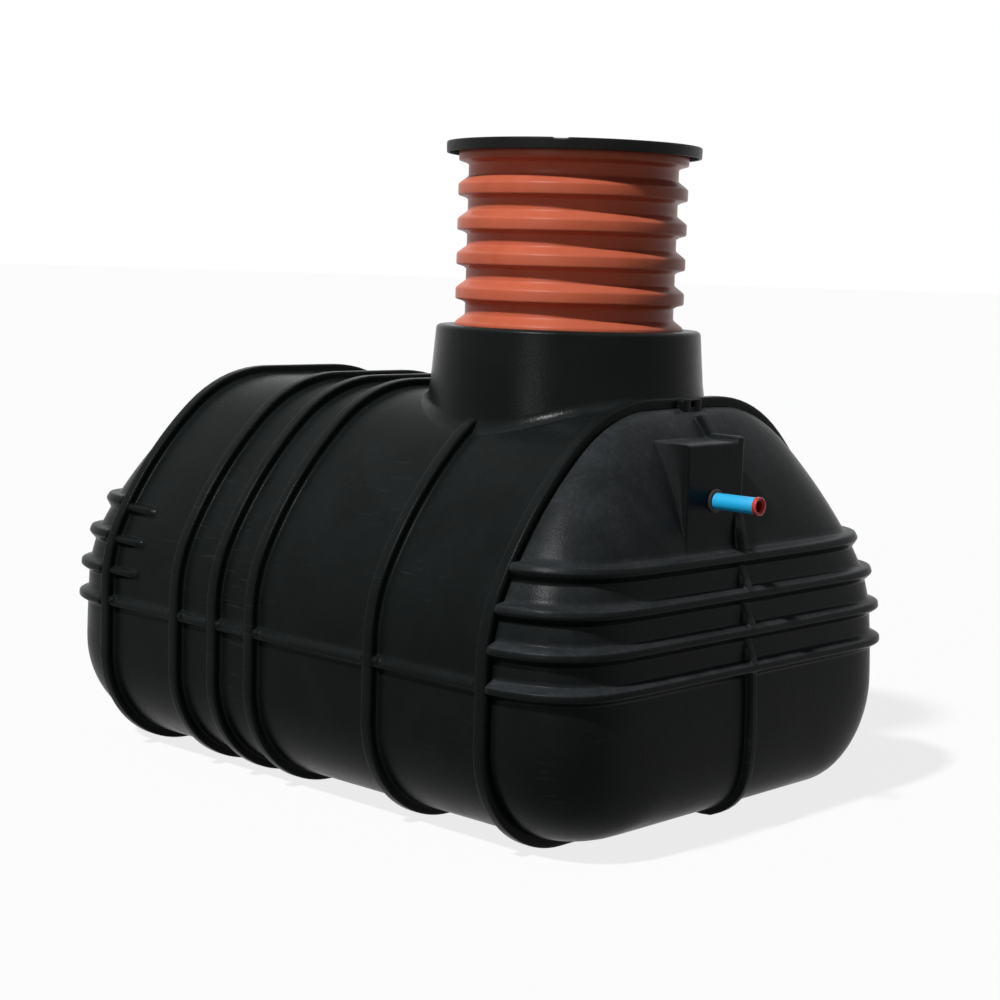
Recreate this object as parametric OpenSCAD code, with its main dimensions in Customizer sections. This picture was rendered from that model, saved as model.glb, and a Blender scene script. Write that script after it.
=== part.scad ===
/* [Tank] */
// Overall width of the tank over its hoops
tank_w = 1580; // [1500:10:1800]
// Overall height of the tank over its hoops
tank_h = 1200; // [1150:10:1400]
// Thickness of the moulded wall
wall = 9; // [6:1:12]
// Radius of the two lower corners of the cross-section
corner_r = 320; // [250:5:380]
// Radius of the arch beside its flat crown
crown_r = 482; // [420:2:540]
// Angle that the crown arc turns through
crown_turn = 40; // [32:1:44]
// Radius of the long haunch arc
haunch_r = 1170; // [1000:10:1250]
// Angle that the haunch arc turns through
haunch_turn = 22; // [16:1:28]
// Radius of the arc that runs down into the upright side
spring_r = 448; // [380:2:500]

/* [Hoops] */
// How far the hoops stand proud of the bays
hoop_rise = 28; // [20:1:36]
// Width of a hoop over its flanks
hoop_w = 40; // [30:1:60]
// Step that rounds the crest edges of a hoop
crest_round = 4; // [2:1:6]
// Centre of the rear end hoop, measured from the neck axis
hoop_1_x = -1190; // [-1260:1:-1120]
// Centre of the second hoop
hoop_2_x = -846; // [-900:1:-800]
// Centre of the third hoop
hoop_3_x = -665; // [-720:1:-620]
// Gap from the neck's land to the centre of the fourth hoop, behind it
hoop_4_gap = 51; // [30:1:80]
// Centre of the hoop that runs into the neck
hoop_5_x = 5; // [-40:1:40]
// Gap from the neck's foot to the centre of the front end hoop
hoop_6_gap = 25; // [22:1:60]

/* [Domed ends] */
// How far an end bulges out from its hoop
end_bulge = 262; // [240:1:300]
// How far an end still stands out level with the crown, before its edge is rounded
end_top_bulge = 74; // [40:1:100]
// Height at which an end bulges out furthest
end_lean_z = 266; // [200:2:400]
// Exponent that sets how full the end is across its face, up to its middle height
end_fullness = 10.7; // [8:0.1:12]
// The same exponent on the centre line at the crown, where the end rounds over more gently
end_top_fullness = 5.9; // [4:0.1:8]
// Exponent that sets how square the turn into the side is
end_squareness = 1.7; // [1.4:0.05:2.2]
// Height of the lowest rib, level with the parting rib
end_rib_z = 474; // [440:1:490]
// Spacing of the four ribs up the end
end_rib_pitch = 100; // [80:1:104]
// Width of a rib where it leaves the wall
end_rib_w = 46; // [36:1:56]
// Width of the flat on a rib's crest
end_rib_crest = 16; // [8:1:24]
// Width of the upright rib on the centre line
spine_w = 26; // [18:1:36]
// Height of the foot of the upright rib
spine_foot_z = 50; // [40:5:90]
// Distance of the upright rib's top below the crown
spine_top_gap = 56; // [54:1:80]
// Longest of the three rib tails past the rear hoop
tail_len = 104; // [80:2:140]

/* [Neck] */
// Radius of the neck at its foot
neck_foot_r = 405; // [395:1:420]
// Radius of the neck at its top edge
neck_top_r = 389; // [370:1:392]
// Height of the neck's top above the tank's crown
neck_h = 178; // [160:1:200]
// Rounding of the neck's top edge
neck_round = 14; // [8:1:18]
// Radius of the fillet between neck and tank
neck_fillet = 34; // [24:1:44]
// Width of the land round the fillet
neck_land = 6; // [4:1:10]
// Depth of the collar that takes the riser
collar_depth = 108; // [90:1:130]

/* [Riser] */
// Outer radius over the riser's ribs
riser_r = 335; // [330:1:340]
// Depth of the riser's corrugation
riser_depth = 29; // [22:1:34]
// Pitch of the riser's ribs
riser_pitch = 100; // [96:1:104]
// Wall of the riser
riser_wall = 6; // [5:1:8]
// Number of ribs on the riser
riser_ribs = 7; // [5:1:9]
// Clearance between the riser's ribs and the neck's collar
riser_fit = 3; // [2:0.5:5]

/* [Lid] */
// Radius of the lid
lid_r = 372; // [360:1:390]
// Height of the lid over its skirt
lid_h = 32; // [26:1:40]
// Thickness of the lid's plate
lid_plate = 12; // [8:1:16]
// Wall of the lid's skirt
lid_skirt_t = 8; // [5:1:10]
// Depth of the ring that drops into the riser
lid_plug_h = 45; // [30:1:60]
// Width of the flat border round the lid's sunk middle
lid_border = 40; // [25:1:60]
// Width of the notch in the lid's edge
lid_notch_w = 36; // [30:1:70]

/* [Pipe stub] */
// Width of the flat pad that the stub passes through
pad_w = 252; // [250:1:270]
// Distance of the pad's top below the tank's crown
pad_drop = 106; // [90:1:130]
// Distance of the pad's face out from the end hoop
pad_out = 195; // [190:1:210]
// Rounding of the pad's edges
pad_round = 16; // [8:1:24]
// Centre of the pad and the stub, left of the centre line
pad_y = -109; // [-130:1:-109]
// Height of the stub's axis above the pad's foot
stub_rise = 126; // [90:1:150]
// Outer radius of the blue sleeve
stub_r = 23; // [20:0.5:26]
// How far the blue sleeve stands out of the pad
stub_len = 138; // [80:1:200]
// How far the sleeve and the tube run on behind the pad's face
stub_inside = 40; // [25:1:60]
// Bore radius of the inner tube
stub_bore_r = 16; // [12:0.5:18]
// How far the grommet's outer flange reaches past the sleeve
stub_flange = 10; // [6:1:14]
// Width of the ring on the end of the stub
stub_ring_w = 13; // [8:1:20]

/* [Lifting eyes] */
// Width of a lifting lug
lug_w = 90; // [60:1:110]
// How far a lifting lug stands out from its hoop
lug_t = 22; // [16:1:25]
// Radius of the lifting hole
eye_r = 9; // [6:0.5:11]

/* [Hidden] */

// Turn of the last arc, which ends upright
spring_turn = 90 - crown_turn - haunch_turn;
haunch_end = crown_turn + haunch_turn;
// Half width of the flat crown, which takes up what the three arcs leave
crown_flat = tank_w / 2 - crown_r * sin(crown_turn)
    - haunch_r * (sin(haunch_end) - sin(crown_turn)) - spring_r * (1 - sin(haunch_end));
// Centres of the arcs in the cross-section, as [across, up]
crown_c = [crown_flat, tank_h - crown_r];
haunch_c = crown_c + (crown_r - haunch_r) * [sin(crown_turn), cos(crown_turn)];
spring_c = haunch_c + (haunch_r - spring_r) * [sin(haunch_end), cos(haunch_end)];
corner_c = [tank_w / 2 - corner_r, corner_r];
// Distances in from the hoops' crest to the two faces of a bay's wall
bay_out = hoop_rise;
bay_in = hoop_rise + wall;

// Reach of the neck over the tank, out to the edge of the land round its fillet
neck_reach = neck_foot_r + neck_fillet + neck_land;
hoop_4_x = -neck_reach - hoop_4_gap;
hoop_6_x = neck_foot_r + hoop_6_gap;
hoop_x = [hoop_1_x, hoop_2_x, hoop_3_x, hoop_4_x, hoop_5_x, hoop_6_x];
// Where the two ends start, at the outer flanks of the end hoops
rear_x = hoop_1_x - hoop_w / 2;
front_x = hoop_6_x + hoop_w / 2;
end_mid_z = tank_h / 2;
// Radius of the arc that an end follows from its fullest height to the crown
end_drop = end_bulge - end_top_bulge;
end_lean_r = (pow(tank_h - end_lean_z, 2) + pow(end_drop, 2)) / (2 * end_drop);

neck_top_z = tank_h + neck_h;

riser_valley_r = riser_r - riser_depth;
riser_first_z = neck_top_z - collar_depth;
riser_top_z = riser_first_z + (riser_ribs - 1) * riser_pitch + riser_pitch * 0.24;
riser_foot_z = riser_first_z - riser_pitch * 0.4;
socket_r = riser_r + riser_fit;
lid_top_z = riser_top_z + lid_plate;

pad_x = front_x + pad_out;
pad_top_z = tank_h - pad_drop;
pad_foot_z = end_rib_z + 3 * end_rib_pitch + end_rib_w / 2 + 14;
stub_z = pad_foot_z + stub_rise;
stub_hole_r = stub_r + 4;
stub_end_x = pad_x + stub_len;
stub_start_x = pad_x - stub_inside;

eye_z = tank_h - (hoop_rise + crest_round) / 2;

shell_colour = "#26282b";
riser_colour = "#b4553d";
seam_overlap = 3;
// Clearances of the grommet's faced seat, round its flange and off the pad's face
seat_round = 1;
seat_gap = 0.01;
rib_root = wall / 2;
cut = 1;

// One arc of the cross-section, set in by d
function section_arc(c, r, from, turn, steps, d) = [
    for (i = [0:steps]) let (a = from + turn * i / steps)
        [c[0] + (r - d) * sin(a), c[1] + (r - d) * cos(a)]
];

function tail(points) = [for (i = [1:len(points) - 1]) points[i]];

// Half of the cross-section from crown to floor, as [across, up], set in by d
function half_section(d) = concat(
    section_arc(crown_c, crown_r, 0, crown_turn, 3, d),
    tail(section_arc(haunch_c, haunch_r, crown_turn, haunch_turn, 7, d)),
    tail(section_arc(spring_c, spring_r, haunch_end, spring_turn, 5, d)),
    section_arc(corner_c, corner_r, 90, 90, 10, d)
);

// Whole cross-section, clockwise from the crown
function section(d) = let (half = half_section(d), n = len(half)) concat(
    half, [for (i = [n - 1:-1:0]) [-half[i][0], half[i][1]]]
);

// Height of the arched top at a distance y from the centre line, set in by d
function arch_z(y, d) = let (
    a = abs(y),
    crown_end = crown_flat + (crown_r - d) * sin(crown_turn),
    haunch_stop = haunch_c[0] + (haunch_r - d) * sin(haunch_end)
)
    a <= crown_flat ? tank_h - d
    : a <= crown_end ? crown_c[1] + sqrt(pow(crown_r - d, 2) - pow(a - crown_c[0], 2))
    : a <= haunch_stop ? haunch_c[1] + sqrt(pow(haunch_r - d, 2) - pow(a - haunch_c[0], 2))
    : spring_c[1] + sqrt(max(0, pow(spring_r - d, 2) - pow(a - spring_c[0], 2)));

// A cross-section run along the tank from x0 to x1
module along_tank(x0, x1) {
    translate([x0, 0, 0]) rotate([90, 0, 90]) linear_extrude(x1 - x0) children();
}

module solid_section(x0, x1, d) {
    along_tank(x0, x1) polygon(section(d));
}

// Triangles between successive rings of n points
function band_faces(m, n, wrap) = [
    for (j = [0:m - 2]) for (i = [0:n - 1]) let (
        k = wrap == undef ? j + 1 : (j + 1) % wrap,
        a = j * n + i, b = j * n + (i + 1) % n, c = k * n + (i + 1) % n, e = k * n + i
    ) each [[a, b, c], [a, c, e]]
];

// Closed loop of equal rings of points, joined into one solid
module ring_solid(rings, closed_loop = false) {
    m = len(rings);
    n = len(rings[0]);
    points = [for (ring = rings) for (p = ring) p];
    sides = band_faces(closed_loop ? m + 1 : m, n, m);
    caps = closed_loop ? [] : [
        [for (i = [n - 1:-1:0]) i],
        [for (i = [0:n - 1]) (m - 1) * n + i]
    ];
    polyhedron(points, concat(sides, caps), convexity = 6);
}

// A hoop is a hollow hat section that runs right round the tank
module hoop(x) {
    half = hoop_w / 2;
    color(shell_colour) difference() {
        union() {
            solid_section(x - half, x + half, crest_round);
            solid_section(x - half + crest_round, x + half - crest_round, 0);
        }
        solid_section(x - half + wall, x + half - wall, crest_round + wall);
        solid_section(x - half - cut, x + half + cut, bay_in);
    }
}

// The moulding's parting rib, level along both sides of a bay
module parting_ribs(x0, x1) {
    side = tank_w / 2 - bay_out - seam_overlap;
    crest = end_rib_crest / 2;
    foot = end_rib_w / 2;
    for (m = [0, 1]) mirror([0, m, 0]) along_tank(x0, x1)
        translate([side, end_rib_z])
            polygon([[0, -foot], [seam_overlap, -foot], [bay_out, -crest - 4],
                [bay_out + seam_overlap, -crest], [bay_out + seam_overlap, crest],
                [bay_out, crest + 4], [seam_overlap, foot], [0, foot]]);
}

// Angle at which the side of a bay faces up at height z
function side_turn(z) = atan2(side_y(z - 1) - side_y(z + 1), 2);

// The three upper ribs of the rear end run out on both sides in short tapered tails
module rib_tails(x0) {
    for (k = [1:3]) for (m = [0, 1]) mirror([0, m, 0]) {
        z = end_rib_z + k * end_rib_pitch;
        run = tail_len * (0.5 + k / 6);
        translate([x0, side_y(z), z]) rotate([side_turn(z), 0, 0]) intersection() {
            along_tank(0, run) polygon([for (p = rib_profile()) [p[1], p[0]]]);
            translate([0, 0, -end_rib_w]) linear_extrude(2 * end_rib_w) polygon([
                [-cut, -rib_root - cut], [run, -rib_root - cut], [run * 0.6, bay_out * 0.55],
                [run * 0.3, bay_out * 0.9], [-cut, bay_out + cut]
            ]);
        }
    }
}

module bay(x0, x1) {
    a = x0 + hoop_w / 2;
    b = x1 - hoop_w / 2;
    color(shell_colour) difference() {
        union() {
            solid_section(a, b, bay_out);
            parting_ribs(a, b);
            if (x0 == hoop_1_x) rib_tails(a);
        }
        solid_section(a - cut, b + cut, bay_in);
    }
}

// The round that the neck takes out of the bays and the hoop below it
module neck_clearance() {
    translate([0, 0, tank_h / 2]) cylinder(h = tank_h, r = neck_reach, $fn = 96);
}

// Share of the way out to the edge of the outline: 0 in the middle, 1 at the edge
function edge_share(p, outline) = max([
    for (i = [0:len(outline) - 1]) let (
        a = outline[i] - [0, end_mid_z],
        b = outline[(i + 1) % len(outline)] - [0, end_mid_z],
        e = b - a,
        q = p - [0, end_mid_z]
    ) (q[0] * e[1] - q[1] * e[0]) / (a[0] * e[1] - a[1] * e[0])
]);

// Depth of a domed end at height z, before its edge is rounded
function end_depth(z, inset) = end_bulge - inset
    - end_lean_r + sqrt(pow(end_lean_r, 2) - pow(z - end_lean_z, 2));

// Exponent for a point at share s and height z, easing from the middle height to the crown
function fullness(s, z) = let (
    up = s <= 0 ? 0 : min(1, max(0, (z - end_mid_z) / (s * (tank_h - bay_out - end_mid_z))))
) end_fullness + (end_top_fullness - end_fullness) * up * up * (3 - 2 * up);

// Depth of a domed end where the share of the way out is s
function dome_x(s, z, inset) = end_depth(z, inset)
    * pow(max(0, 1 - pow(s, fullness(s, z))), 1 / end_squareness);

// Ring of points on one face of a domed end, at share s of the way out to its edge
function dome_ring(outline, inset, s) = [
    for (p = outline) let (z = end_mid_z + (p[1] - end_mid_z) * s)
        [dome_x(s, z, inset), p[0] * s, z]
];

// Turns of the rounded edge, then even steps across the face, as shares from edge to middle
function face_shares(edge_turns, middle) = concat(
    [for (t = edge_turns) pow(cos(t), 2 / end_fullness)], middle
);
outer_shares = face_shares([0, 14, 28, 42, 54, 64, 73, 80], [0.5, 0.36, 0.22, 0.1]);
inner_shares = face_shares([0, 20, 40, 58, 72], [0.55, 0.3, 0.1]);

// The end's shell as one solid: outer face, inner face and the rim between them
module dome_shell() {
    rings = concat(
        [for (j = [len(inner_shares) - 1:-1:0]) dome_ring(section(bay_in), wall, inner_shares[j])],
        [for (s = outer_shares) dome_ring(section(bay_out), 0, s)]
    );
    m = len(rings);
    n = len(rings[0]);
    points = concat([for (ring = rings) for (p = ring) p],
        [[end_depth(end_mid_z, wall), 0, end_mid_z], [end_depth(end_mid_z, 0), 0, end_mid_z]]);
    polyhedron(points, concat(
        band_faces(m, n),
        [for (i = [0:n - 1]) [m * n, (i + 1) % n, i]],
        [for (i = [0:n - 1]) [m * n + 1, (m - 1) * n + i, (m - 1) * n + (i + 1) % n]]
    ), convexity = 6);
}

// The inside of an end as a plug, to trim what stands on the wall
module dome_plug() {
    rings = [for (s = outer_shares) dome_ring(section(bay_in), wall, s)];
    m = len(rings);
    n = len(rings[0]);
    points = concat([for (ring = rings) for (p = ring) p],
        [[-cut, 0, end_mid_z], [end_depth(end_mid_z, wall), 0, end_mid_z]]);
    polyhedron(points, concat(
        band_faces(m, n),
        [for (i = [0:n - 1]) [m * n, (i + 1) % n, i]],
        [for (i = [0:n - 1]) [m * n + 1, (m - 1) * n + i, (m - 1) * n + (i + 1) % n]]
    ), convexity = 4);
}

// Half width of a bay at height z
function side_y(z) = let (d = bay_out)
    z < corner_c[1] ? corner_c[0] + sqrt(pow(corner_r - d, 2) - pow(z - corner_c[1], 2))
    : z < spring_c[1] ? tank_w / 2 - d
    : z < spring_c[1] + (spring_r - d) * cos(haunch_end)
        ? spring_c[0] + sqrt(pow(spring_r - d, 2) - pow(z - spring_c[1], 2))
    : z < haunch_c[1] + (haunch_r - d) * cos(crown_turn)
        ? haunch_c[0] + sqrt(pow(haunch_r - d, 2) - pow(z - haunch_c[1], 2))
    : crown_c[0] + sqrt(max(0, pow(crown_r - d, 2) - pow(z - crown_c[1], 2)));

// Point on the outer face at height z and a share f of the half width, from -1 to 1
function face_point(f, z, outline) = let (y = f * side_y(z))
    [dome_x(min(1, edge_share([y, z], outline)), z, 0), y, z];

// Outward direction of the outer face there
function face_normal(f, z, outline) = let (
    h = 0.002,
    f0 = max(-1, f - h),
    f1 = min(1, f + h),
    n = cross(face_point(f1, z, outline) - face_point(f0, z, outline),
        face_point(f, z + 1, outline) - face_point(f, z - 1, outline)),
    flat = abs(f) == 1 ? [0, n[1], n[2]] : n
) flat / norm(flat);

// Cross-section of a level rib, as [up, out], rooted inside the wall
function rib_profile() = let (foot = end_rib_w / 2 + 2, crest = end_rib_crest / 2) [
    [-foot, -rib_root], [-crest - 4, bay_out - 3], [-crest, bay_out],
    [crest, bay_out], [crest + 4, bay_out - 3], [foot, -rib_root],
];

// One level rib, wrapped round the end from flank to flank of the end hoop
module level_rib(z) {
    outline = section(bay_out);
    n = len(outer_shares);
    shares = concat(-outer_shares, [0], [for (i = [n - 1:-1:0]) outer_shares[i]]);
    ring_solid([
        for (f = shares) let (out = face_normal(f, z, outline)) [
            for (p = rib_profile()) face_point(f, z + p[0], outline) + out * p[1]
        ]
    ]);
}

// Upright rib on the centre line, through knots given as [height, rise]
module spine(knots) {
    outline = section(bay_out);
    half = spine_w / 2;
    ring_solid([
        for (k = knots) let (
            p = face_point(0, k[0], outline),
            out = face_normal(0, k[0], outline)
        ) [
            p + [0, -half - seam_overlap, 0] - out * rib_root,
            p + [0, half + seam_overlap, 0] - out * rib_root,
            p + [0, half, 0] + out * (k[1] - seam_overlap),
            p + [0, half - seam_overlap, 0] + out * k[1],
            p + [0, -half + seam_overlap, 0] + out * k[1],
            p + [0, -half, 0] + out * (k[1] - seam_overlap)
        ]
    ]);
}

// Even steps of the spine from z0 to z1, with its rise running from r0 to r1
function spine_steps(z0, z1, r0, r1, steps) = [
    for (i = [0:steps]) [z0 + (z1 - z0) * i / steps, r0 + (r1 - r0) * i / steps]
];

// A plain end: shell, four level ribs and the pieces of the spine between them
module domed_end() {
    foot = end_rib_w / 2;
    union() {
        dome_shell();
        for (k = [0:3]) level_rib(end_rib_z + k * end_rib_pitch);
        for (k = [0:2]) spine([
            [end_rib_z + k * end_rib_pitch, bay_out - 1],
            [end_rib_z + k * end_rib_pitch + end_rib_crest / 2, bay_out - 1],
            [end_rib_z + (k + 1) * end_rib_pitch - foot - 5, seam_overlap]
        ]);
        spine(spine_steps(spine_foot_z, end_rib_z, bay_out - 8, bay_out - 8, 9));
        spine(spine_steps(end_rib_z + 3 * end_rib_pitch, tank_h - spine_top_gap,
            bay_out - 4, bay_out - 4, 8));
    }
}

// Point of the outer face on the centre line at ring k, as [out from the end hoop, height]
function crown_line(k) = let (z = end_mid_z + (tank_h - bay_out - end_mid_z) * outer_shares[k])
    [dome_x(outer_shares[k], z, 0), z];

// Lifting lug: a solid block through the end hoop's crown, seated on the end in front of it
module lifting_lug() {
    seat = [for (k = [0:7]) if (crown_line(k)[0] < lug_t) crown_line(k)];
    near = seat[len(seat) - 1];
    far = crown_line(len(seat));
    low = near + (far - near) * (lug_t - near[0]) / (far[0] - near[0]);
    difference() {
        translate([0, lug_w / 2, 0]) rotate([90, 0, 0]) linear_extrude(lug_w) polygon(concat(
            [[-hoop_w, tank_h - bay_in], [0, tank_h - bay_in]], seat,
            [low, [lug_t, tank_h - crest_round], [lug_t - 2, tank_h - 2], [-hoop_w, tank_h - 2]]
        ));
        translate([-hoop_w - cut, 0, eye_z]) rotate([0, 90, 0])
            cylinder(h = hoop_w + lug_t + 2 * cut, r = eye_r, $fn = 48);
    }
}

// Rectangle with rounded corners, from [y0, z0] to [y1, z1]
module rounded_plate(y0, z0, y1, z1, r) {
    polygon([
        for (k = [0:3]) let (c = [k == 1 || k == 2 ? y0 + r : y1 - r, k < 2 ? z1 - r : z0 + r])
            for (a = [0:22.5:90]) c + r * [cos(90 * k + a), sin(90 * k + a)]
    ]);
}

// Block of the pad, set in by d, with its face edges rounded in two steps
module pad_block(d) {
    for (step = [[0, 0], [2, 4], [6, 6.5]]) along_tank(0, pad_out - d - 6.5 + step[1])
        rounded_plate(pad_y - pad_w / 2 + d + 6 - step[0], pad_foot_z + d + 6 - step[0],
            pad_y + pad_w / 2 - d - 6 + step[0], pad_top_z - d - 6 + step[0], pad_round);
}

// The front end, with a flat pad pushed out of it for the pipe stub
module front_end() {
    color(shell_colour) translate([front_x, 0, 0]) difference() {
        union() {
            domed_end();
            difference() {
                pad_block(0);
                dome_plug();
            }
        }
        pad_block(wall);
        translate([pad_out - 3 * wall, pad_y, stub_z]) rotate([0, 90, 0])
            cylinder(h = 4 * wall, r = stub_hole_r, $fn = 64);
        // Seat for the grommet, faced off where the end stands out past the pad
        translate([pad_out + seat_gap, pad_y, stub_z]) rotate([0, 90, 0])
            cylinder(h = end_bulge, r = stub_r + stub_flange + seat_round, $fn = 64);
    }
}

// The rear end is the front one turned about, with no pad
module rear_end() {
    color(shell_colour) translate([rear_x, 0, 0]) mirror([1, 0, 0]) domed_end();
}

// An end hoop, open at its crown where the lifting lug fills it
module end_hoop(x) {
    difference() {
        hoop(x);
        translate([x - hoop_w, -lug_w / 2, tank_h - bay_in]) cube([2 * hoop_w, lug_w, 2 * bay_in]);
    }
}

module front_lug() {
    color(shell_colour) translate([front_x, 0, 0]) lifting_lug();
}

module rear_lug() {
    color(shell_colour) translate([rear_x, 0, 0]) mirror([1, 0, 0]) lifting_lug();
}

// Profile of the neck, as [radius, height]: outer wall, rounded lip and collar
module neck_profile() {
    foot_z = arch_z(neck_foot_r, bay_in) - wall;
    shoulder_z = neck_top_z - neck_round;
    lip = [for (a = [0:18:90])
        [neck_top_r - neck_round * (1 - cos(a)), shoulder_z + neck_round * sin(a)]];
    polygon(concat(
        [[neck_foot_r, foot_z], [neck_foot_r, tank_h - 30]],
        lip,
        [
            [socket_r, neck_top_z], [socket_r, neck_top_z - collar_depth],
            [socket_r + wall, neck_top_z - collar_depth], [socket_r + wall, neck_top_z - wall],
            [neck_top_r - wall - 3, neck_top_z - wall],
            [neck_foot_r - wall, tank_h - 30], [neck_foot_r - wall, foot_z]
        ]
    ));
}

// Fillet that rides over the arched top, between the tank and the neck
module neck_skirt() {
    steps = 5;
    root = wall / 2;
    dip = 3;
    ring_solid([
        for (turn = [352.5:-7.5:0]) let (
            at = function (r, lift) [r * cos(turn), r * sin(turn), arch_z(r * sin(turn), bay_out) + lift]
        ) concat(
            [at(neck_foot_r - root, -root), at(neck_foot_r - root, neck_fillet + 4)],
            [for (i = [1:steps]) let (a = 90 * i / steps)
                at(neck_foot_r + neck_fillet * (1 - cos(a)),
                    neck_fillet * (1 - sin(a)) - dip * i / steps)],
            [at(neck_foot_r + neck_fillet, -root)]
        )
    ], closed_loop = true);
}

// The neck, with the patch of the tank's wall that it stands on
module neck() {
    across = neck_reach + cut;
    color(shell_colour) difference() {
        union() {
            difference() {
                rotate_extrude($fn = 96) neck_profile();
                solid_section(-across, across, bay_in);
            }
            difference() {
                intersection() {
                    solid_section(-across, across, bay_out);
                    neck_clearance();
                }
                solid_section(-across - cut, across + cut, bay_in);
                cylinder(h = tank_h + neck_fillet, r = neck_foot_r - wall, $fn = 96);
            }
            neck_skirt();
        }
        for (x = [hoop_4_x, hoop_6_x]) solid_section(x - hoop_w / 2, x + hoop_w / 2, 0);
    }
}

// One rib of the riser, as [out from the valley, up from its centre]: a short shoulder below
// an upright crest and a longer, softer one above, drawn in by t towards the crest
function riser_rib(t) = [
    [0, t - 29.5], [riser_depth * 0.28, t - 23.5], [riser_depth * 0.7, t - 19.8],
    [riser_depth - 0.6, t - 15.5], [riser_depth, t - 12],
    [riser_depth, 11 - t], [riser_depth - 0.6, 14 - t], [riser_depth * 0.78, 20.6 - t],
    [riser_depth * 0.3, 31 - t], [0, 42 - t]
];

// One side of the riser's wall from foot to top, as [radius, height]
function riser_side(valley, t) = concat(
    [[valley, riser_foot_z]],
    [for (i = [0:riser_ribs - 1]) for (p = riser_rib(t))
        if (i < riser_ribs - 1 || p[1] < 0) [valley + p[0], riser_first_z + i * riser_pitch + p[1]]],
    [[valley + riser_depth, riser_top_z]]
);

// Single-wall corrugated shaft
module riser() {
    outer = riser_side(riser_valley_r, 0);
    inner = riser_side(riser_valley_r - riser_wall, riser_wall * 0.6);
    color(riser_colour) rotate_extrude($fn = 96)
        polygon(concat(outer, [for (i = [len(inner) - 1:-1:0]) inner[i]]));
}

// Rubber ring in the riser's groove, pressed against the neck's collar
module riser_seal() {
    z = riser_first_z + riser_pitch / 2;
    color("#1b1b1d") rotate_extrude($fn = 96) difference() {
        translate([riser_valley_r, z - 9]) square([socket_r - riser_valley_r, 18]);
        for (s = [-1, 1]) translate([(riser_valley_r + socket_r) / 2, z + 12 * s])
            circle(r = 7, $fn = 32);
    }
}

// Flat cover with a turned-down skirt and a plug that drops into the riser
module lid() {
    plug_r = riser_valley_r - riser_wall - 4;
    plug_in = plug_r - 5;
    under_z = lid_top_z - lid_plate;
    skirt_z = lid_top_z - lid_h;
    sunk_r = lid_r - lid_border;
    edge = 5;
    color("#1f2022") difference() {
        rotate_extrude($fn = 96) polygon([
            [0, under_z], [plug_in, under_z], [plug_in, under_z - lid_plug_h],
            [plug_r, under_z - lid_plug_h], [plug_r, under_z], [lid_r - lid_skirt_t, under_z],
            [lid_r - lid_skirt_t, skirt_z], [lid_r - 1, skirt_z],
            [lid_r, lid_top_z - edge], [lid_r - 1.5, lid_top_z - 1.5], [lid_r - edge, lid_top_z],
            [sunk_r, lid_top_z], [sunk_r - 6, lid_top_z - lid_plate / 2], [0, lid_top_z - lid_plate / 3]
        ]);
        rotate([0, 0, -55]) translate([lid_r - 14, -lid_notch_w / 2, lid_top_z - lid_plate / 2])
            cube([20, lid_notch_w, lid_plate]);
    }
}

module round_stub(x0, x1, r_out, r_in) {
    translate([x0, pad_y, stub_z]) rotate([0, 90, 0]) difference() {
        cylinder(h = x1 - x0, r = r_out, $fn = 64);
        translate([0, 0, -cut]) cylinder(h = x1 - x0 + 2 * cut, r = r_in, $fn = 64);
    }
}

// Rubber grommet that grips the pad's wall on both faces
module stub_grommet() {
    color("#3a2b2b") union() {
        round_stub(pad_x, pad_x + 7, stub_r + stub_flange, stub_r);
        round_stub(pad_x - wall, pad_x, stub_hole_r, stub_r);
        round_stub(pad_x - wall - 5, pad_x - wall, stub_r + 8, stub_r);
    }
}

module stub_sleeve() {
    color("#2aa9de") round_stub(stub_start_x, stub_end_x, stub_r, stub_r - 3);
}

module stub_tube() {
    color("#b8362c") round_stub(stub_start_x, stub_end_x + stub_ring_w - 4, stub_r - 3, stub_bore_r);
}

module stub_ring() {
    color("#c8433a") round_stub(stub_end_x, stub_end_x + stub_ring_w, stub_r + 2.5, stub_r - 3);
}

rear_end();
end_hoop(hoop_1_x);  // hoop_1
bay(hoop_1_x, hoop_2_x);  // bay_1
hoop(hoop_2_x);  // hoop_2
bay(hoop_2_x, hoop_3_x);  // bay_2
hoop(hoop_3_x);  // hoop_3
bay(hoop_3_x, hoop_4_x);  // bay_3
hoop(hoop_4_x);  // hoop_4
difference() { bay(hoop_4_x, hoop_5_x); neck_clearance(); }  // bay_4
difference() { hoop(hoop_5_x); neck_clearance(); }  // hoop_5
difference() { bay(hoop_5_x, hoop_6_x); neck_clearance(); }  // bay_5
end_hoop(hoop_6_x);  // hoop_6
front_end();
rear_lug();
front_lug();
neck();
riser_seal();
riser();
lid();
stub_grommet();
stub_sleeve();
stub_tube();
stub_ring();
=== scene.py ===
"""Septic tank: a moulded plastic tank with its riser, lid and pipe stub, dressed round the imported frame."""

import math

import bmesh
import bpy
import numpy as np
from mathutils import Matrix, Vector

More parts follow.
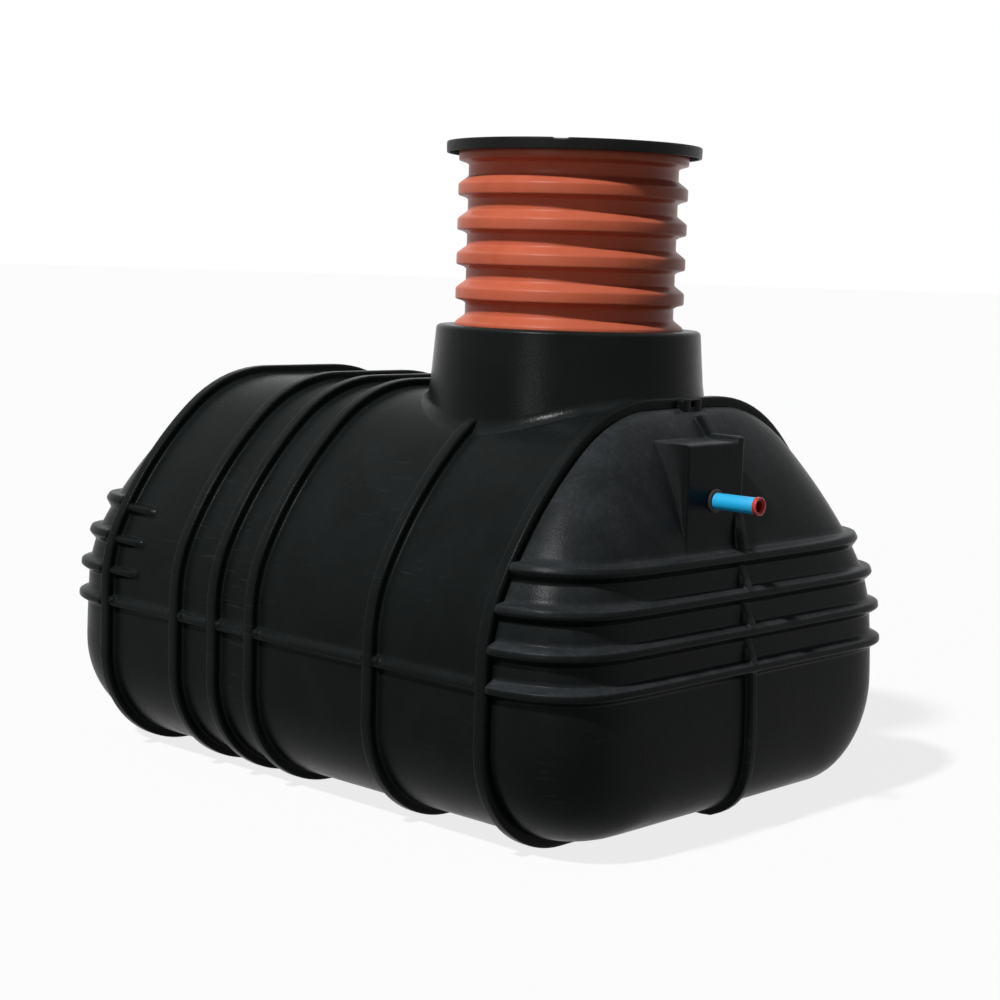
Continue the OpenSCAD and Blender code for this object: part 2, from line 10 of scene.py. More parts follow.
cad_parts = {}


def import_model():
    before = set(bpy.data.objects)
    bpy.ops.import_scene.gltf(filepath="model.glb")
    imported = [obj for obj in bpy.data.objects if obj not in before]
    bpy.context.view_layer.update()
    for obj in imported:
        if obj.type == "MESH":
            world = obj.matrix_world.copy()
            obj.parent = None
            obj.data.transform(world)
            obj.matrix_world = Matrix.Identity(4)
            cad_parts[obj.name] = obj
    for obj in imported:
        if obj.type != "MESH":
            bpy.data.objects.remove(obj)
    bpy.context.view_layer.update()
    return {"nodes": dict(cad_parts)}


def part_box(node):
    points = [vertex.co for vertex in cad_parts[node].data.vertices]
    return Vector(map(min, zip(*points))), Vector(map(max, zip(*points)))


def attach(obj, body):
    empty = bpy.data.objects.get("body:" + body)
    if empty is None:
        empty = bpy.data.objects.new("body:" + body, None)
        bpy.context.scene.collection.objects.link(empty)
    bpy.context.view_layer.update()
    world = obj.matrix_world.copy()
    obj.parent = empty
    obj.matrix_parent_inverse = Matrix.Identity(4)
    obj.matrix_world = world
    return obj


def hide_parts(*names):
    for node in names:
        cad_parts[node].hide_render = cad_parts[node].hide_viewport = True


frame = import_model()
NODES = frame["nodes"]
MM = 0.001


# ---------------------------------------------------------------- sizes, in millimetres

def node_box(name):
    """Lowest and highest corner of a CAD node, in millimetres."""
    low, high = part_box(name)
    return np.array(low) / MM, np.array(high) / MM


HOOPS = [f"hoop_{k}" for k in range(1, 7)]
BAYS = [f"bay_{k}" for k in range(1, 6)]
HOOP_X = [float(sum(corner[0] for corner in node_box(h)) / 2) for h in HOOPS]
TANK_LOW, TANK_HIGH = node_box("hoop_1")
TANK_W = float(TANK_HIGH[1] - TANK_LOW[1])
TANK_H = float(TANK_HIGH[2])
HOOP_HALF = float(TANK_HIGH[0] - TANK_LOW[0]) / 2
REAR_X = HOOP_X[0] - HOOP_HALF
FRONT_X = HOOP_X[-1] + HOOP_HALF
WALL = 9.0
RISE = 28.0

CORNER_R = 320.0
CROWN_R, CROWN_TURN = 482.0, 40.0
HAUNCH_R, HAUNCH_TURN = 1170.0, 22.0
SPRING_R = 448.0

END_BULGE, END_TOP_BULGE, END_LEAN_Z = 262.0, 74.0, 266.0
END_DROP = END_BULGE - END_TOP_BULGE
END_LEAN_R = ((TANK_H - END_LEAN_Z) ** 2 + END_DROP ** 2) / (2 * END_DROP)
END_FULLNESS, END_TOP_FULLNESS, END_SQUARENESS = 10.7, 5.9, 1.7
RIB_Z = [474.0, 574.0, 674.0, 774.0]
TAIL_LENGTH = 120.0

NECK_FOOT_R, NECK_TOP_R, NECK_TOP_Z = 405.0, 389.0, float(node_box("neck")[1][2])
NECK_ROUND, NECK_FILLET = 14.0, 34.0
SOCKET_R, SOCKET_DEPTH = 338.0, 108.0

RISER_VALLEY_R, RISER_WALL = 306.0, 6.0
RISER_FOOT_Z = float(node_box("riser")[0][2])
RISER_PITCH, RISER_RIBS = 100.0, 7
RISER_FIRST_Z = RISER_FOOT_Z + 0.4 * RISER_PITCH
RISER_TOP_Z = float(node_box("riser")[1][2])

LID_LOW, LID_HIGH = node_box("lid")
LID_R = float(LID_HIGH[0] - LID_LOW[0]) / 2
LID_TOP_Z = float(LID_HIGH[2])
LID_NOTCH_W, LID_NOTCH_DEPTH, LID_NOTCH_TURN = 36.0, 6.0, -55.0

SLEEVE_LOW, SLEEVE_HIGH = node_box("stub_sleeve")
STUB_Y = float(SLEEVE_LOW[1] + SLEEVE_HIGH[1]) / 2
STUB_Z = float(SLEEVE_LOW[2] + SLEEVE_HIGH[2]) / 2
STUB_INSIDE = 40.0
SLEEVE_R, TUBE_R, BORE_R, RING_R = 23.0, 20.0, 16.0, 25.5
PAD_X = float(SLEEVE_LOW[0]) + STUB_INSIDE
PAD_HALF, PAD_DROP, PAD_ROUND = 126.0, 106.0, 9.0
PAD_LEFT, PAD_RIGHT = STUB_Y - PAD_HALF, STUB_Y + PAD_HALF
PAD_TOP, PAD_FOOT = TANK_H - PAD_DROP, RIB_Z[-1] + 24.0
EYE_R, EYE_Z = 9.0, TANK_H - 16.0


# ---------------------------------------------------------------- meshes

def grid_quads(rows, cols, wrap_rows=False, wrap_cols=False):
    """Quads of a grid: point (i, j) joined to (i, j + 1), (i + 1, j + 1) and (i + 1, j)."""
    i = np.arange(rows if wrap_rows else rows - 1)[:, None]
    j = np.arange(cols if wrap_cols else cols - 1)[None, :]
    k, m = (i + 1) % rows, (j + 1) % cols
    quads = np.broadcast_arrays(i * cols + j, i * cols + m, k * cols + m, k * cols + j)
    return np.stack(quads, axis=-1).reshape(-1, 4)


def facing_out(points, quads, inside):
    """The quads, turned over where the volume they sweep about an inside point is negative."""
    p = points - np.asarray(inside, float)
    a, b, c, d = (p[quads[:, k]] for k in range(4))
    swept = (np.cross(a, b) * c).sum() + (np.cross(a, c) * d).sum()
    return quads if swept > 0 else quads[:, ::-1]


def piece(name, points, quads, material, stands_for, inside=None):
    """A smooth-shaded mesh from points in millimetres, riding on the root body in place of CAD nodes."""
    points = np.asarray(points, float).reshape(-1, 3)
    quads = facing_out(points, quads, points.mean(0) if inside is None else inside)
    mesh = bpy.data.meshes.new(name)
    mesh.vertices.add(len(points))
    mesh.vertices.foreach_set("co", (points * MM).ravel())
    mesh.loops.add(quads.size)
    mesh.loops.foreach_set("vertex_index", quads.ravel().astype(np.int32))
    mesh.polygons.add(len(quads))
    mesh.polygons.foreach_set("loop_start", np.arange(0, quads.size, 4, dtype=np.int32))
    mesh.polygons.foreach_set("loop_total", np.full(len(quads), 4, np.int32))
    mesh.update(calc_edges=True)
    work = bmesh.new()
    work.from_mesh(mesh)
    bmesh.ops.remove_doubles(work, verts=work.verts, dist=0.02 * MM)
    work.to_mesh(mesh)
    work.free()
    mesh.shade_smooth()
    mesh.materials.append(material)
    obj = bpy.data.objects.new(name, mesh)
    bpy.context.scene.collection.objects.link(obj)
    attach(obj, "root")
    if stands_for:
        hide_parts(*stands_for)
    return obj


def smooth_max(a, b, width):
    """The larger of two heights, with a fillet of about the given width where they cross."""
    gap = np.clip(width - np.abs(a - b), 0, None) / width
    return np.maximum(a, b) + gap * gap * width / 4


# ---------------------------------------------------------------- cross-section of the tank

TAIL_OUT = np.array([0, 4, 7, 9.5, 12, 14, 16, 18, 20.5])
TAIL_HIGH = np.array([1, 0.97, 0.88, 0.75, 0.57, 0.36, 0.18, 0.06, 0])


def arc(centre, radius, start, turn, steps, heights=()):
    """Points and outward directions on an arc: centre plus radius times (sin a, cos a). It has points at
    even steps and where it passes the given heights."""
    a = np.radians(start + turn * np.linspace(0, 1, steps + 1))
    share = (np.asarray(heights, float) - centre[1]) / radius
    passed = np.arccos(share[np.abs(share) < 1])
    clear = np.abs(passed[:, None] - a[None, :]).min(axis=1, initial=1) * radius > 1.0
    a = np.sort(np.concatenate([a, passed[clear & (passed > a[0]) & (passed < a[-1])]]))
    way = np.stack([np.sin(a), np.cos(a)], axis=-1)
    return np.asarray(centre) + radius * way, way


def flat(start, end, way, shares):
    """Points on a straight stretch from start to end at the given shares, all facing one way."""
    t = np.asarray(shares)[:, None]
    return (1 - t) * np.asarray(start) + t * np.asarray(end), np.tile(way, (len(t), 1)).astype(float)


def half_section():
    """Half of the cross-section at the hoops' crests, from crown to floor: a flat, three arcs that meet at
    equal slopes, an upright side, a corner arc and a flat underside. Gives points and outward directions."""
    haunch_end = CROWN_TURN + HAUNCH_TURN
    s1, c1 = math.sin(math.radians(CROWN_TURN)), math.cos(math.radians(CROWN_TURN))
    s2, c2 = math.sin(math.radians(haunch_end)), math.cos(math.radians(haunch_end))
    crown_flat = TANK_W / 2 - CROWN_R * s1 - HAUNCH_R * (s2 - s1) - SPRING_R * (1 - s2)
    crown = np.array([crown_flat, TANK_H - CROWN_R])
    haunch = crown + (CROWN_R - HAUNCH_R) * np.array([s1, c1])
    spring = haunch + (HAUNCH_R - SPRING_R) * np.array([s2, c2])
    corner = np.array([TANK_W / 2 - CORNER_R, CORNER_R])
    side = np.array([TANK_W / 2, spring[1]]), np.array([TANK_W / 2, CORNER_R])
    up = spring[1] - CORNER_R
    rib = [(spring[1] - RIB_Z[0] - dz) / up for dz in
           (30, 25.5, 23, 21, 18, 15, 12, 9, 6, 3, 0, -3, -5, -7, -8.5, -10, -11.3, -12.5, -13.5, -14.5, -17, -22)]
    tails = [z + side * out for z in RIB_Z[1:] for out in TAIL_OUT for side in (-1, 1) if out or side > 0]
    runs = [
        flat((0, TANK_H), (crown_flat, TANK_H), (0, 1), np.linspace(0, 1, 5)),
        arc(crown, CROWN_R, 0, CROWN_TURN, 9),
        arc(haunch, HAUNCH_R, CROWN_TURN, HAUNCH_TURN, 26, tails),
        arc(spring, SPRING_R, haunch_end, 90 - haunch_end, 10, tails),
        flat(*side, (1, 0), [0.06] + rib + [0.5, 0.65, 0.85]),
        arc(corner, CORNER_R, 90, 90, 24),
        flat((corner[0], 0), (0, 0), (0, -1), np.linspace(0, 1, 9)),
    ]
    points = np.concatenate([r[0] if k in (0, 4) else r[0][1:] if k != 5 else r[0] for k, r in enumerate(runs)])
    ways = np.concatenate([r[1] if k in (0, 4) else r[1][1:] if k != 5 else r[1] for k, r in enumerate(runs)])
    return points, ways


def full_section():
    """The whole cross-section, clockwise from the crown, as points and outward directions."""
    p, w = half_section()
    back, mirror = slice(-2, 0, -1), np.array([-1.0, 1.0])
    return np.concatenate([p, p[back] * mirror]), np.concatenate([w, w[back] * mirror])


SECTION, SECTION_WAY = full_section()


def half_width(z, inset):
    """Half width of the cross-section at heights z, once it is set in, by looking along its outline."""
    p, w = half_section()
    line = p - inset * w
    keep = np.concatenate([[True], np.diff(line[:, 1]) < -1e-6])
    return np.interp(-np.asarray(z, float), -line[keep, 1], line[keep, 0])


def arch_z(y, inset):
    """Height of the arched top at distances y from the centre line, once it is set in."""
    p, w = half_section()
    line = (p - inset * w)[: np.argmax(p[:, 0] > TANK_W / 2 - 1)]
    return np.interp(np.abs(y), line[:, 0], line[:, 1])


# ---------------------------------------------------------------- profiles across hoops and ribs

RIB_OUT = np.array([0, 5, 7.5, 9.5, 12, 15, 18, 21, 23.5, 27])
RIB_HIGH = np.array([1, 0.996, 0.975, 0.92, 0.8, 0.61, 0.4, 0.18, 0.055, 0])
HOOP_OUT = np.array([0, 11, 14.5, 17, 18.8, 19.6, 20.2, 21.2, 23, 26, 31])
HOOP_HIGH = np.array([1, 1, 0.985, 0.93, 0.83, 0.66, 0.36, 0.19, 0.085, 0.02, 0])


def rib_height(offset):
    """Height of a level rib, between 0 and 1, at a distance from its middle line."""
    return np.interp(np.abs(offset), RIB_OUT, RIB_HIGH)


PARTING_Z = np.array([-17, -14.5, -12.5, -10, -7, -3, 3, 9, 15, 21, 30])
PARTING_HIGH = np.array([0, 0.12, 0.55, 0.86, 0.97, 1, 0.95, 0.8, 0.55, 0.25, 0])
KNOT_STEPS = (14, 18, 22, 27, 32, 40)


def wall_stations():
    """Places along the outer wall as (x, hoop height from 0 to 1), from the rear flank to the front one."""
    stations = []
    for k, x in enumerate(HOOP_X):
        for side in (-1, 1):
            steps = zip(HOOP_OUT, HOOP_HIGH) if side > 0 else reversed(list(zip(HOOP_OUT, HOOP_HIGH)))
            steps = [(out, high) for out, high in steps if side < 0 or out > 0]
            outer_flank = (k == 0 and side < 0) or (k == len(HOOP_X) - 1 and side > 0)
            if outer_flank:
                steps = [(out, high) for out, high in steps if out < HOOP_HALF]
                ends = [(HOOP_HALF, 0.0), (HOOP_HALF, 0.3), (HOOP_HALF, 0.6)]
                steps = ends + steps if side < 0 else steps + ends[::-1]
            stations += [(x + side * out, high) for out, high in steps]
        if k + 1 < len(HOOP_X):
            start, end = x + HOOP_OUT[-1], HOOP_X[k + 1] - HOOP_OUT[-1]
            count = max(8, round((end - start) / (9.0 if k == 0 else 24.0)))
            even = [start + (end - start) * i / count for i in range(1, count)]
            knots = [x + HOOP_HALF + d for d in KNOT_STEPS] + [HOOP_X[k + 1] - HOOP_HALF - d for d in KNOT_STEPS]
            places = sorted(even + [v for v in knots if start < v < end])
            stations += [(v, 0.0) for v, before in zip(places, [start] + places) if v - before > 1.0]
    return np.array(stations)


def tail_height(x, z):
    """Height from 0 to 1 of the tails that three of the ribs run out in past the rear hoop: a narrow bar,
    a little lower along its length, with a blunt round end."""
    left = HOOP_X[0] + HOOP_HALF + TAIL_LENGTH - x
    along = np.sqrt(np.clip(left / 22, 0, 1)) * np.clip(0.5 + 0.3 * left / TAIL_LENGTH, 0, 1)
    bars = sum(np.interp(np.abs(z - rib_z), TAIL_OUT, TAIL_HIGH) for rib_z in RIB_Z[1:])
    return bars * np.where(left < TAIL_LENGTH + 5, along, 0)


def knot_height(x, z):
    """Height from 0 to 1 of the small knots on the parting rib at the flanks of every hoop:
    exp(-(dx / 15)^4 - (dz / 12)^4) round each one's middle."""
    high = np.zeros(np.broadcast(x, z).shape)
    for k, hoop_x in enumerate(HOOP_X):
        for side, size in ((1, 1.0), (-1, 0.8)):
            if (k == 0 and side < 0) or (k == len(HOOP_X) - 1 and side > 0):
                continue
            dx, dz = x - hoop_x - side * (HOOP_HALF + 9), z - RIB_Z[0] - 9
            high = np.maximum(high, size * np.exp(-(dx / 15) ** 4 - (dz / 12) ** 4))
    return high


# ---------------------------------------------------------------- pieces of the tank

def tank_wall(material):
    """Tube round the tank. A point is the cross-section's point less its outward direction times the inset,
    and the inset is the rise less the larger of hoop, parting rib and tail heights. The tube turns back
    inside as a plain wall, so that it is closed."""
    stations = wall_stations()
    x, hoop = stations[:, 0][:, None], stations[:, 1][:, None] * RISE
    z = SECTION[:, 1][None, :]
    side = np.abs(SECTION_WAY[:, 0])[None, :] > 0.3
    parting = np.where(side, np.interp(z - RIB_Z[0], PARTING_Z, PARTING_HIGH), 0) * RISE * 0.8
    parting = np.maximum(parting, np.where(side, knot_height(x, z), 0) * (RISE - 1))
    tails = np.where(side, tail_height(x, z), 0) * RISE
    high = smooth_max(smooth_max(hoop, parting, 7.0), tails, 5.0)
    high = np.where(hoop >= RISE - 0.01, RISE, np.minimum(high, RISE))
    outer = np.zeros((len(stations), len(SECTION), 3))
    outer[..., 0] = x
    outer[..., 1:] = SECTION - SECTION_WAY * (RISE - high)[..., None]
    inner_x = np.linspace(FRONT_X, REAR_X, 40)
    inner = np.zeros((len(inner_x), len(SECTION), 3))
    inner[..., 0] = inner_x[:, None]
    inner[..., 1:] = (SECTION - SECTION_WAY * (RISE + WALL))[None]
    points = np.concatenate([outer, inner])
    rows, cols = points.shape[:2]
    quads = grid_quads(rows, cols, wrap_rows=True, wrap_cols=True)
    return piece("tank_wall", points, quads, material, HOOPS + BAYS)


def edge_share(y, z):
    """Share of the way out from the middle of the end to the edge of its outline, by the outline's gauge:
    the largest, over its edges, of the point's cross product with the edge over the edge's own."""
    outline = SECTION - SECTION_WAY * RISE
    mid = np.array([0, TANK_H / 2])
    a = outline - mid
    e = np.roll(a, -1, axis=0) - a
    scale = a[:, 0] * e[:, 1] - a[:, 1] * e[:, 0]
    keep = np.abs(scale) > 1e-9
    a, e, scale = a[keep], e[keep], scale[keep]
    share = np.full(np.shape(y), -np.inf)
    for ex, ez, s in zip(e[:, 0], e[:, 1], scale):
        share = np.maximum(share, (y * ez - (z - mid[1]) * ex) / s)
    return np.clip(share, 0, 1)


def dome_depth(y, z):
    """How far an end stands out at (y, z): the lean arc's depth times (1 - s^fullness)^(1 / squareness),
    where s is the share of the way out to the outline. The fullness eases from the middle height, u = 0,
    to the crown, u = 1, as u^2 (3 - 2 u)."""
    lean = END_BULGE - END_LEAN_R + np.sqrt(END_LEAN_R ** 2 - (z - END_LEAN_Z) ** 2)
    share = edge_share(y, z)
    up = np.clip((z - TANK_H / 2) / np.maximum(share * (TANK_H / 2 - RISE), 1e-6), 0, 1)
    fullness = END_FULLNESS + (END_TOP_FULLNESS - END_FULLNESS) * up ** 2 * (3 - 2 * up)
    return lean * np.clip(1 - share ** fullness, 0, 1) ** (1 / END_SQUARENESS)


def spine_height(y, z):
    """Height of the upright rib: a band below the lowest level rib and above the top one, and between the
    level ribs a web that falls away upwards from each crest."""
    across = np.interp(np.abs(y), [0, 9, 11.5, 13, 14.5, 17], [1, 1, 0.93, 0.75, 0.12, 0])
    low = np.interp(z, [34, 50, RIB_Z[0]], [0, 20, 20])
    top = np.interp(z, [RIB_Z[-1], TANK_H - 57, TANK_H - 50], [24, 24, 0])
    webs = np.zeros(np.shape(z))
    for rib_z in RIB_Z[:3]:
        webs = np.maximum(webs, np.interp(z, [rib_z, rib_z + 8, rib_z + 72, rib_z + 80], [27, 27, 4, 0])
                          * (z >= rib_z - 1))
    return np.where(z < RIB_Z[0], low, np.where(z > RIB_Z[-1], top, webs)) * across


def pad_depth(y, z):
    """How far the flat pad stands out at (y, z): its face less a round along the left, right and top
    edges, falling away steeply outside them."""
    inside = np.minimum(np.minimum(y - PAD_LEFT, PAD_RIGHT - y), PAD_TOP - z)
    t = np.clip(PAD_ROUND - inside, 0, PAD_ROUND)
    depth = PAD_X - FRONT_X - (PAD_ROUND - np.sqrt(PAD_ROUND ** 2 - t ** 2))
    depth = np.where(inside < 0, depth + inside * 150, depth)
    return np.where(z < PAD_FOOT, -RISE, depth)


def end_rows():
    """Heights of the grid's rows: close together over the ribs, the pad's top and the rounded edges."""
    bottom, top = RISE, TANK_H - RISE
    ribs = [z + side * out for z in RIB_Z for out in RIB_OUT for side in (-1, 1)]
    turns = 1 - np.cos(np.radians(np.linspace(0, 90, 16)))
    low = bottom + turns * 190
    high = top - turns * 190
    gaps = [z + dz for z in RIB_Z[:-1] for dz in (38, 50, 62, 72)]
    plain = list(np.arange(235, 445, 16)) + list(np.arange(813, 985, 14)) + gaps
    pad_top = [PAD_TOP + dz for dz in (-9, -8, -7, -6, -4.5, -3, -1.5, -0.5, 0, 0.6, 2.5, 5, 8)]
    spine_top = [TANK_H - 66, TANK_H - 60, TANK_H - 57, TANK_H - 55, TANK_H - 52, TANK_H - 50, TANK_H - 47]
    rows = np.unique(np.round(np.concatenate([ribs, low, high, plain, pad_top, spine_top]), 2))
    return rows[np.concatenate([[True], np.diff(rows) > 0.35])]


def end_columns(z):
    """Distances from the centre line along each row: fixed places over the spine and the pad's sides, then
    a share of what is left, closer together towards the rounded edge."""
    width = half_width(z, RISE)
    spine = [0, 4, 6, 8, 9.5, 11, 12.5, 14, 15.5, 17]
    edge = [-11, -9, -6.5, -4, -2, -0.8, 0, 0.8, 2.5, 5, 9]
    right = np.array(spine + [PAD_RIGHT + d for d in edge if d >= 0.8] + [32, 50, 80, 110, 140, 170, 200])
    left = np.array(spine + [19, 25, 38, 60, 90, 120, 150, 180, 205, 216] + [d - PAD_LEFT for d in edge])
    last = left[-1]
    right = np.append(right, last)
    squeeze = np.minimum(1, width * 0.8 / last)[:, None]
    turn = np.sin(np.radians(np.linspace(0, 90, 44)))[1:]
    rest = last * squeeze + (width[:, None] - last * squeeze) * turn[None, :]
    right_side = np.concatenate([right[None, 1:] * squeeze, rest], axis=1)
    left_side = np.concatenate([left[None, 1:] * squeeze, rest], axis=1)
    return np.concatenate([-left_side[:, ::-1], np.zeros((len(z), 1)), right_side], axis=1)


def end_face(pad):
    """Outer face of an end, as depth, y and z: the dome's point plus its outward normal times the larger of
    rib and spine heights, then pushed out to the pad's depth where the pad stands further out."""
    z = end_rows()
    y = end_columns(z)
    z = np.repeat(z[:, None], y.shape[1], axis=1)
    base = np.stack([dome_depth(y, z), y, z], axis=-1)
    normal = np.cross(np.gradient(base, axis=1), np.gradient(base, axis=0))
    normal[[0, -1], :, 0] = 0
    normal[:, [0, -1], 0] = 0
    normal /= np.maximum(np.linalg.norm(normal, axis=-1, keepdims=True), 1e-9)
    ribs = sum(rib_height(z - rib_z) for rib_z in RIB_Z) * RISE
    spine = spine_height(y, z)
    high = np.where(np.maximum(ribs, spine) <= 0, 0, np.minimum(smooth_max(ribs, spine, 5.0), RISE))
    face = base + normal * high[..., None]
    if pad:
        face[..., 0] = smooth_max(face[..., 0], pad_depth(y, z), 12.0)
    return face


def domed_end(name, start, sense, pad, material, stands_for):
    """One end of the tank: its outer face set at the end hoop's flank, with the wall's thickness inside."""
    face = end_face(pad)
    rows, cols = face.shape[:2]
    points = face.copy()
    points[..., 0] = start + sense * face[..., 0]
    quads = grid_quads(rows, cols)
    obj = piece(name, points, quads, material, stands_for, inside=(start, 0, TANK_H / 2))
    wall = obj.modifiers.new("wall", "SOLIDIFY")
    wall.thickness = WALL * MM
    wall.offset = -1
    return obj


def lifting_lug(name, start, sense, material, stands_for):
    """Block round the lifting hole. Each ray from the hole's axis meets the hole at its radius and the
    block's edge where (|y| / half width)^9 + (|z| / half height)^9 = 1; the loop goes round both faces."""
    a = np.radians(np.arange(0, 360, 4))
    way = np.stack([np.cos(a), np.sin(a)], axis=-1)
    half_w, half_h, near, far = 43.0, 22.5, -38.0, 22.0
    mid_z = TANK_H - 2.0 - half_h
    edge = 1 / ((np.abs(way[:, 0]) / half_w) ** 9 + (np.abs(way[:, 1]) / half_h) ** 9) ** (1 / 9)
    block = way * edge[:, None]
    hole = way * EYE_R + np.array([0, EYE_Z - mid_z])

    def ring(flat_points, depth, grow=0.0):
        points = np.zeros((len(a), 3))
        points[:, 0] = start + sense * depth
        points[:, 1:] = flat_points + way * grow + np.array([0, mid_z])
        return points

    rings = [ring(hole, near, 1), ring(hole, near + 1), ring(hole, far - 2), ring(hole, far - 0.6, 0.6),
             ring(hole, far, 2), ring(block, far, -4), ring(block, far - 1.2, -1.2), ring(block, far - 4),
             ring(block, near + 2), ring(block, near, -2)]
    points = np.array(rings)
    quads = grid_quads(len(rings), len(a), wrap_rows=True, wrap_cols=True)
    return piece(name, points, quads, material, stands_for)


def turned(name, profile, count, material, stands_for, axis="z", centre=(0, 0), dip=None):
    """Surface of revolution: each point of a closed (radius, height) profile at (radius cos a, radius sin a)
    round the axis. dip(radius, height, a) may lower points, for a notch."""
    profile = np.asarray(profile, float)
    a = np.linspace(0, 2 * np.pi, count, endpoint=False)[:, None]
    r, h = profile[None, :, 0], profile[None, :, 1]
    h = np.broadcast_to(h, (count, len(profile))).copy()
    if dip is not None:
        h = h - dip(r, h, a)
    u, v = r * np.cos(a), r * np.sin(a)
    if axis == "z":
        points = np.stack([u + centre[0], v + centre[1], h], axis=-1)
    else:
        points = np.stack([h, u + centre[0], v + centre[1]], axis=-1)
    quads = grid_quads(count, len(profile), wrap_rows=True, wrap_cols=True)
    return piece(name, points, quads, material, stands_for)


def rounded(points, radius, steps=4):
    """A closed (radius, height) profile with every corner rounded: each corner gives way to a quadratic
    curve between points a set distance back along its two sides."""
    p = np.asarray(points, float)
    radius = np.broadcast_to(np.asarray(radius, float), len(p))
    before, after = np.roll(p, 1, axis=0), np.roll(p, -1, axis=0)
    to_a, to_b = before - p, after - p
    len_a, len_b = np.linalg.norm(to_a, axis=1), np.linalg.norm(to_b, axis=1)
    cut = np.minimum(radius, np.minimum(len_a, len_b) * 0.48)
    a = p + to_a / len_a[:, None] * cut[:, None]
    b = p + to_b / len_b[:, None] * cut[:, None]
    t = np.linspace(0, 1, steps + 1)[None, :, None]
    curve = a[:, None] * (1 - t) ** 2 + 2 * p[:, None] * t * (1 - t) + b[:, None] * t ** 2
    return curve.reshape(-1, 2)


def neck_piece(material):
    """The neck: for each turn a closed profile that climbs from a fillet over the arched top, up the wall
    and round the lip, down the socket, and back inside. The fillet's foot follows the arch's height at
    radius times sin(turn)."""
    turn = np.radians(np.arange(0, 360, 2.5))[:, None]
    arc_steps = np.radians(np.linspace(90, 0, 9))
    fillet_r = NECK_FOOT_R + NECK_FILLET * (1 - np.cos(arc_steps))
    fillet_lift = NECK_FILLET * (1 - np.sin(arc_steps))
    foot_r = np.concatenate([[NECK_FOOT_R + NECK_FILLET + 7], fillet_r])
    foot_lift = np.concatenate([[-1.6], fillet_lift])
    foot_z = arch_z(foot_r[None, :] * np.sin(turn), RISE) + foot_lift[None, :]
    shoulder_z = NECK_TOP_Z - NECK_ROUND
    climb = np.linspace(0, 1, 7)[1:][None, :]
    wall_z = foot_z[:, -1:] + (shoulder_z - foot_z[:, -1:]) * climb
    slope = (NECK_TOP_R - NECK_FOOT_R) / (shoulder_z - TANK_H)
    wall_r = np.where(wall_z < TANK_H - 30, NECK_FOOT_R, NECK_FOOT_R + slope * (wall_z - TANK_H + 30) * 0.85)
    wall_r = np.minimum(wall_r, NECK_FOOT_R)
    wall_r[:, -1] = NECK_TOP_R
    lip = np.radians(np.arange(15, 91, 15))
    fixed_r = np.concatenate([NECK_TOP_R - NECK_ROUND * (1 - np.cos(lip)),
                              [SOCKET_R + 3, SOCKET_R + 0.8, SOCKET_R],
                              [SOCKET_R, SOCKET_R + WALL, SOCKET_R + WALL, NECK_TOP_R - WALL - 3]])
    fixed_z = np.concatenate([shoulder_z + NECK_ROUND * np.sin(lip),
                              [NECK_TOP_Z, NECK_TOP_Z - 0.8, NECK_TOP_Z - 3],
                              [NECK_TOP_Z - SOCKET_DEPTH, NECK_TOP_Z - SOCKET_DEPTH, NECK_TOP_Z - WALL,
                               NECK_TOP_Z - WALL]])
    count = len(turn)
    inner_r = np.full((count, 1), NECK_FOOT_R - WALL)
    inner_z = arch_z(inner_r * np.sin(turn), RISE + WALL)
    base_r = np.full((count, 1), NECK_FOOT_R + NECK_FILLET + 7)
    base_z = arch_z(base_r * np.sin(turn), RISE) - WALL
    fixed = np.tile(fixed_r, (count, 1))
    r = np.concatenate([np.tile(foot_r, (count, 1)), wall_r, fixed, inner_r, base_r], axis=1)
    z = np.concatenate([foot_z, wall_z, np.tile(fixed_z, (count, 1)), inner_z, base_z], axis=1)
    points = np.stack([r * np.cos(turn), r * np.sin(turn), z], axis=-1)
    quads = grid_quads(*points.shape[:2], wrap_rows=True, wrap_cols=True)
    return piece("neck_collar", points, quads, material, ["neck"])


def riser_profile():
    """Riser wall as a closed (radius, height) loop: each rib has an upright crest, a short shoulder below
    and a longer, softer one above, and the inside follows at the wall's thickness."""
    shape = [(0, -29.5), (2.5, -27.2), (8, -23.5), (20, -19.8), (26, -18), (28.4, -15.5), (29, -12), (29, 0),
             (29, 11), (28.4, 14), (26.5, 17), (22.5, 20.6), (16, 25.5), (8.5, 31), (3.2, 35.2), (0.7, 38.5), (0, 42)]
    outer = [(RISER_VALLEY_R, RISER_FOOT_Z)]
    for k in range(RISER_RIBS):
        z = RISER_FIRST_Z + k * RISER_PITCH
        outer += [(RISER_VALLEY_R + out, z + dz) for out, dz in shape
                  if RISER_FOOT_Z < z + dz < RISER_TOP_Z - 1]
    outer.append((outer[-1][0], RISER_TOP_Z))
    inner = [(r - RISER_WALL, z) for r, z in outer]
    return outer + inner[::-1]


def lid_profile():
    """Lid as a closed (radius, height) loop from the middle of its top, over a raised rim and down the
    skirt, then back under the plate with the plug that drops into the riser."""
    top, r = LID_TOP_Z, LID_R
    low = RISER_TOP_Z
    skirt = low - 20
    plug = RISER_VALLEY_R - RISER_WALL - 4
    corners = [(0, top - 4), (r - 50, top - 6), (r - 44, top), (r - 1.5, top), (r, top - 6), (r - 1, skirt),
               (r - 8, skirt), (r - 8, low), (plug, low), (plug, low - 45), (plug - 5, low - 45),
               (plug - 5, low), (0, low)]
    radii = [0, 3, 3, 4, 3, 2.5, 2, 3, 1, 1, 1, 1, 0]
    return rounded(corners, radii, 4)


